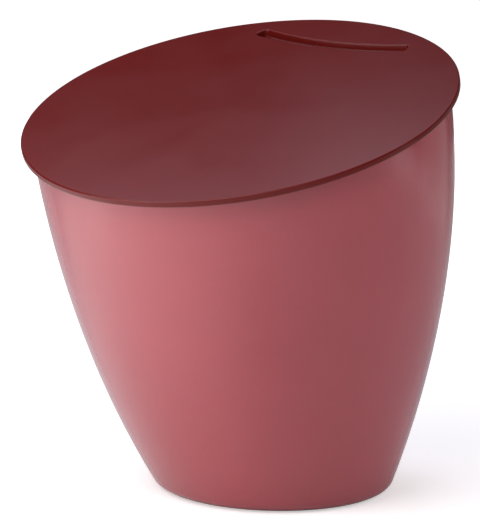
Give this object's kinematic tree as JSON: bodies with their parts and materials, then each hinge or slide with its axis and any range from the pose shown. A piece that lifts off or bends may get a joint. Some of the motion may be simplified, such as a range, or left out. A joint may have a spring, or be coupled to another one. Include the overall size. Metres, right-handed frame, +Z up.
{
  "type": "waste bin",
  "caption": "Counter-top food-scraps bin: a round leaning tub with a slanted rim, and a thin round lift-off lid with an arc-shaped finger groove.",
  "frame": {"origin": "centre of the round base, on the table that it stands on", "axes": "+Z up, -Y towards the low side of the slanted lid, +Y towards its high side with the finger groove, X across the mirror plane"},
  "size_m": [0.177, 0.1757, 0.1864],
  "materials": {
    "tub_gloss": "gloss",
    "lid_satin": "satin"
  },
  "bodies": {
    "bin": {"bin_body": "tub_gloss"},
    "lid": {"lid": "lid_satin"}
  },
  "joints": [
    {"name": "lid_lift", "type": "slide", "parent": "bin", "child": "lid", "axis": [0, -0.2924, 0.9563], "range_m": [0, 0.15]}
  ]
}
